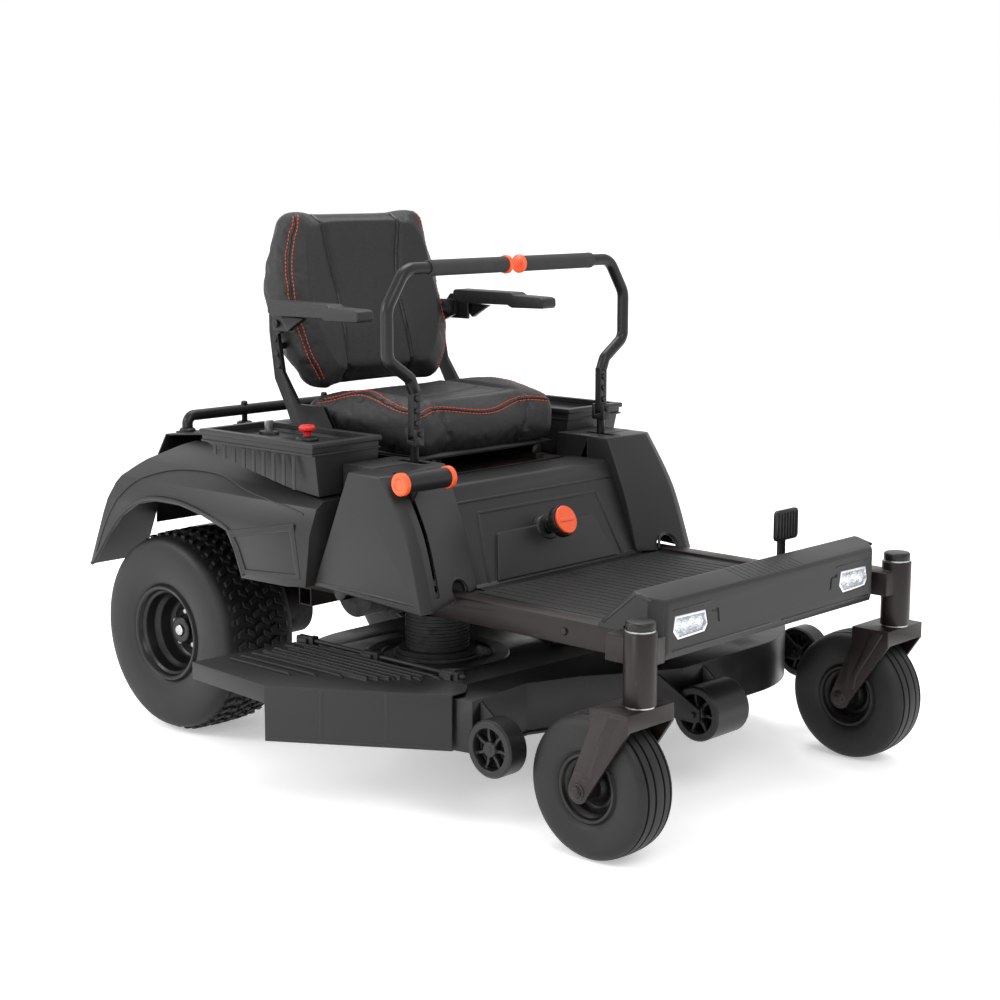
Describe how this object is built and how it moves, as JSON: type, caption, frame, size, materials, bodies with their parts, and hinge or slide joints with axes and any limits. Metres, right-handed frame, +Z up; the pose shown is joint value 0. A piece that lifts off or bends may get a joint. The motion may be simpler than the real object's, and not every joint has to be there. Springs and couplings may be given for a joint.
{
  "type": "zero turn mower",
  "caption": "Ride-on zero turn lawn mower with lap bar steering, padded seat, swivelling front casters, lifting side-discharge cutting deck and large rear drive wheels.",
  "frame": {"origin": "on the ground under the centre of the whole machine's bounding box", "axes": "-Y is forward, +X is the driver's left, +Z is up"},
  "size_m": [1.27, 1.6426, 1.178],
  "materials": {
    "body_plastic": "fine grained charcoal moulding",
    "frame_paint": "dark powder coat",
    "deck_paint": "satin black powder coat",
    "steel": "ground",
    "tyre_rubber": "moulded rubber",
    "rim_paint": "satin black",
    "vinyl": "grained vinyl over foam",
    "soft_black": "soft grip",
    "orange": "bright orange",
    "red": "bright red",
    "lamp_chrome": "bright reflector",
    "lens": "clear",
    "casing": "cast",
    "battery_case": "moulded"
  },
  "bodies": {
    "chassis": {"frame_rails": "frame_paint", "rear_rails": "frame_paint", "cross_members": "frame_paint", "front_beam": "frame_paint", "sleeve_bushes": "steel", "sleeve_caps": "body_plastic", "hitch_plate": "frame_paint", "seat_support": "frame_paint", "lap_brackets": "frame_paint", "floor_pan": "deck_paint", "footrest_cover": "body_plastic", "headlight_housings": "lamp_chrome", "headlight_lenses": "lens", "knee_panel": "body_plastic", "tower_left": "body_plastic", "tower_right": "body_plastic", "tray_left": "body_plastic", "tray_right": "body_plastic", "fender_left": "body_plastic", "fender_right": "body_plastic", "rear_hood": "body_plastic", "rear_bar": "deck_paint", "battery_pack": "battery_case", "drive_motors": "casing"},
    "deck": {"deck_shell": "deck_paint", "blade_motors": "casing"},
    "chute": {"discharge_chute": "body_plastic"},
    "lift": {"lift_lever": "deck_paint", "lift_grip": "soft_black"},
    "height_knob": {"height_knob": "orange"},
    "pto_knob": {"pto_knob": "red"},
    "key": {"key": "steel"},
    "brake_pedal": {"brake_pedal": "deck_paint"},
    "seat": {"seat_pan": "deck_paint", "seat_cushion": "vinyl", "seat_back": "vinyl"},
    "roller_front": {"roller_front": "soft_black"},
    "roller_right": {"roller_right": "soft_black"},
    "roller_left": {"roller_left": "soft_black"},
    "blade_right": {"blade_right": "steel"},
    "rear_wheel_right": {"rear_tyre_right": "tyre_rubber", "rear_rim_right": "rim_paint"},
    "caster_right": {"caster_fork_right": "frame_paint"},
    "caster_wheel_right": {"caster_tyre_right": "tyre_rubber", "caster_rim_right": "rim_paint"},
    "lap_lever_right": {"lap_base_right": "deck_paint"},
    "lap_bar_right": {"lap_bar_right": "deck_paint", "lap_grip_right": "soft_black"},
    "armrest_right": {"armrest_right": "soft_black"},
    "blade_left": {"blade_left": "steel"},
    "rear_wheel_left": {"rear_tyre_left": "tyre_rubber", "rear_rim_left": "rim_paint"},
    "caster_left": {"caster_fork_left": "frame_paint"},
    "caster_wheel_left": {"caster_tyre_left": "tyre_rubber", "caster_rim_left": "rim_paint"},
    "lap_lever_left": {"lap_base_left": "deck_paint"},
    "lap_bar_left": {"lap_bar_left": "deck_paint", "lap_grip_left": "soft_black"},
    "armrest_left": {"armrest_left": "soft_black"}
  },
  "joints": [
    {"name": "deck_lift", "type": "slide", "parent": "chassis", "child": "deck", "axis": [0, 0, 1], "range_m": [-0.075, 0]},
    {"name": "lift_lever_swing", "type": "hinge", "parent": "chassis", "child": "lift", "pos_m": [-0.35, 0.03635, 0.392], "axis": [1, 0, 0], "range_deg": [0, 38]},
    {"name": "chute_hinge", "type": "hinge", "parent": "deck", "child": "chute", "pos_m": [-0.345, -0.07565, 0.272], "axis": [0, 1, 0], "range_deg": [0, 45]},
    {"name": "height_knob_turn", "type": "hinge", "parent": "chassis", "child": "height_knob", "pos_m": [0.075, -0.15568, 0.505], "axis": [0, -0.9217, 0.3879], "range_deg": [0, 270]},
    {"name": "pto_pull", "type": "slide", "parent": "chassis", "child": "pto_knob", "axis": [0, 0, 1], "range_m": [0, 0.008]},
    {"name": "key_turn", "type": "hinge", "parent": "chassis", "child": "key", "pos_m": [-0.285, 0.33435, 0.71], "axis": [0, 0, -1], "range_deg": [0, 90]},
    {"name": "brake_press", "type": "hinge", "parent": "chassis", "child": "brake_pedal", "pos_m": [0.265, -0.64065, 0.385], "axis": [1, 0, 0], "range_deg": [0, 15], "stiffness_Nm_per_rad": 20, "springref_deg": -8.59},
    {"name": "seat_slide", "type": "slide", "parent": "chassis", "child": "seat", "axis": [0, -1, 0], "range_m": [0, 0.06]},
    {"name": "roller_spin_right", "type": "hinge", "parent": "deck", "child": "roller_right", "pos_m": [-0.415, -0.47065, 0.178], "axis": [1, 0, 0], "continuous": true},
    {"name": "roller_spin_left", "type": "hinge", "parent": "deck", "child": "roller_left", "pos_m": [0.61, -0.47065, 0.178], "axis": [1, 0, 0], "continuous": true},
    {"name": "roller_spin_front", "type": "hinge", "parent": "deck", "child": "roller_front", "pos_m": [0.075, -0.61065, 0.178], "axis": [1, 0, 0], "continuous": true},
    {"name": "blade_spin_right", "type": "hinge", "parent": "deck", "child": "blade_right", "pos_m": [-0.187, -0.08565, 0.166], "axis": [0, 0, 1], "continuous": true},
    {"name": "rear_wheel_spin_right", "type": "hinge", "parent": "chassis", "child": "rear_wheel_right", "pos_m": [-0.312, 0.56135, 0.2286], "axis": [1, 0, 0], "continuous": true},
    {"name": "caster_swivel_right", "type": "hinge", "parent": "chassis", "child": "caster_right", "pos_m": [-0.358, -0.76965, 0.307], "axis": [0, 0, 1], "continuous": true},
    {"name": "caster_wheel_spin_right", "type": "hinge", "parent": "caster_right", "child": "caster_wheel_right", "pos_m": [-0.358, -0.68165, 0.1397], "axis": [1, 0, 0], "continuous": true},
    {"name": "lap_lever_right", "type": "hinge", "parent": "chassis", "child": "lap_lever_right", "pos_m": [-0.225, -0.05865, 0.55], "axis": [1, 0, 0], "range_deg": [-13, 13]},
    {"name": "lap_bar_swing_right", "type": "hinge", "parent": "lap_lever_right", "child": "lap_bar_right", "pos_m": [-0.225, -0.05865, 0.722], "axis": [0, -1, 0], "range_deg": [0, 35]},
    {"name": "armrest_fold_right", "type": "hinge", "parent": "seat", "child": "armrest_right", "pos_m": [-0.185, 0.39635, 0.925], "axis": [-1, 0, 0], "range_deg": [0, 90]},
    {"name": "blade_spin_left", "type": "hinge", "parent": "deck", "child": "blade_left", "pos_m": [0.337, -0.25565, 0.166], "axis": [0, 0, 1], "continuous": true},
    {"name": "rear_wheel_spin_left", "type": "hinge", "parent": "chassis", "child": "rear_wheel_left", "pos_m": [0.462, 0.56135, 0.2286], "axis": [1, 0, 0], "continuous": true},
    {"name": "caster_swivel_left", "type": "hinge", "parent": "chassis", "child": "caster_left", "pos_m": [0.508, -0.76965, 0.307], "axis": [0, 0, 1], "continuous": true},
    {"name": "caster_wheel_spin_left", "type": "hinge", "parent": "caster_left", "child": "caster_wheel_left", "pos_m": [0.508, -0.68165, 0.1397], "axis": [1, 0, 0], "continuous": true},
    {"name": "lap_lever_left", "type": "hinge", "parent": "chassis", "child": "lap_lever_left", "pos_m": [0.375, -0.05865, 0.55], "axis": [1, 0, 0], "range_deg": [-13, 13]},
    {"name": "lap_bar_swing_left", "type": "hinge", "parent": "lap_lever_left", "child": "lap_bar_left", "pos_m": [0.375, -0.05865, 0.722], "axis": [0, 1, 0], "range_deg": [0, 35]},
    {"name": "armrest_fold_left", "type": "hinge", "parent": "seat", "child": "armrest_left", "pos_m": [0.335, 0.39635, 0.925], "axis": [-1, 0, 0], "range_deg": [0, 90]}
  ],
  "couplings": [
    {"joint": "lift_lever_swing", "follows": "deck_lift", "rad_per_m": -8.843}
  ]
}
